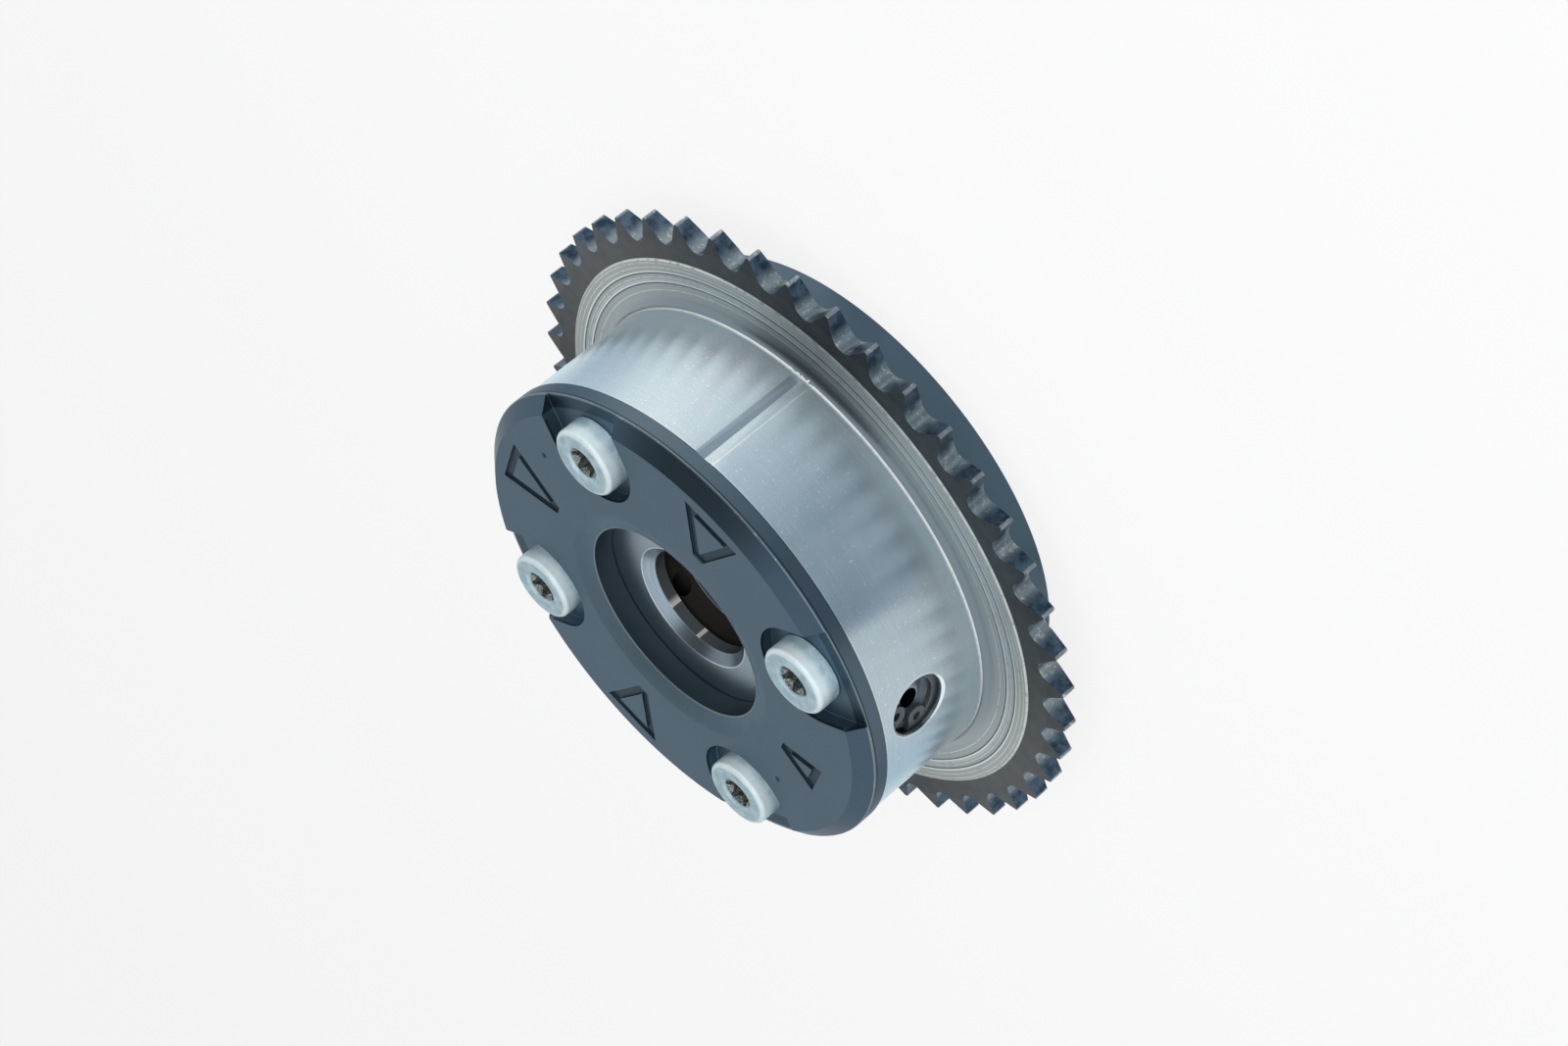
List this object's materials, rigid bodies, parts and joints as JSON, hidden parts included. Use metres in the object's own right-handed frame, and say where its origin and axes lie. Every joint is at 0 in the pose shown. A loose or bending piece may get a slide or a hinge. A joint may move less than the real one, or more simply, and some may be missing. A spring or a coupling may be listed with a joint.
{
  "type": "cam phaser",
  "caption": "Chain-driven cam phaser: toothed housing with lobes, vaned rotor turning inside it, bolted front and rear covers, tip seals and a sprung radial lock pin.",
  "frame": {"origin": "centre of the rear face, on the axis of rotation", "axes": "+Z along the axis of rotation, towards the bolted front cover; +X along the radial lock pin, outwards"},
  "size_m": [0.1166, 0.1166, 0.0443],
  "materials": {
    "housing_steel": "fine turned steel, with dark hardened chain teeth",
    "front_cover_steel": "dark slate conversion coat, satin",
    "rear_cover_steel": "dark slate conversion coat, satin",
    "rotor_steel": "ground steel",
    "bolt_zinc": "pale zinc coat",
    "seal_plastic": "moulded bearing plastic",
    "spring_steel": "spring steel",
    "pin_steel": "hardened and ground",
    "seat_steel": "dark pressed steel",
    "ring_steel": "dark spring steel"
  },
  "bodies": {
    "housing": {"sprocket_housing": "housing_steel", "front_cover": "front_cover_steel", "rear_cover": "rear_cover_steel", "cover_bolt_1": "bolt_zinc", "cover_bolt_2": "bolt_zinc", "cover_bolt_3": "bolt_zinc", "cover_bolt_4": "bolt_zinc", "housing_seal_1": "seal_plastic", "housing_seal_2": "seal_plastic", "housing_seal_3": "seal_plastic", "housing_seal_4": "seal_plastic", "housing_seal_spring_1": "spring_steel", "housing_seal_spring_2": "spring_steel", "housing_seal_spring_3": "spring_steel", "housing_seal_spring_4": "spring_steel", "lock_spring_seat": "seat_steel", "lock_retaining_ring": "ring_steel", "lock_pin_spring": "spring_steel"},
    "rotor": {"rotor": "rotor_steel", "vane_seal_1": "seal_plastic", "vane_seal_2": "seal_plastic", "vane_seal_3": "seal_plastic", "vane_seal_4": "seal_plastic", "vane_seal_spring_1": "spring_steel", "vane_seal_spring_2": "spring_steel", "vane_seal_spring_3": "spring_steel", "vane_seal_spring_4": "spring_steel"},
    "lock_pin": {"lock_pin": "pin_steel"}
  },
  "joints": [
    {"name": "rotor_turn", "type": "hinge", "parent": "housing", "child": "rotor", "pos_m": [0, 0, 0.02415], "axis": [0, 0, 1], "range_deg": [-12, 12]},
    {"name": "lock_pin_slide", "type": "slide", "parent": "housing", "child": "lock_pin", "axis": [1, 0, 0], "range_m": [0, 0.0015], "stiffness_N_per_m": 400, "springref_m": -0.004, "deforming": ["lock_pin_spring"]}
  ]
}
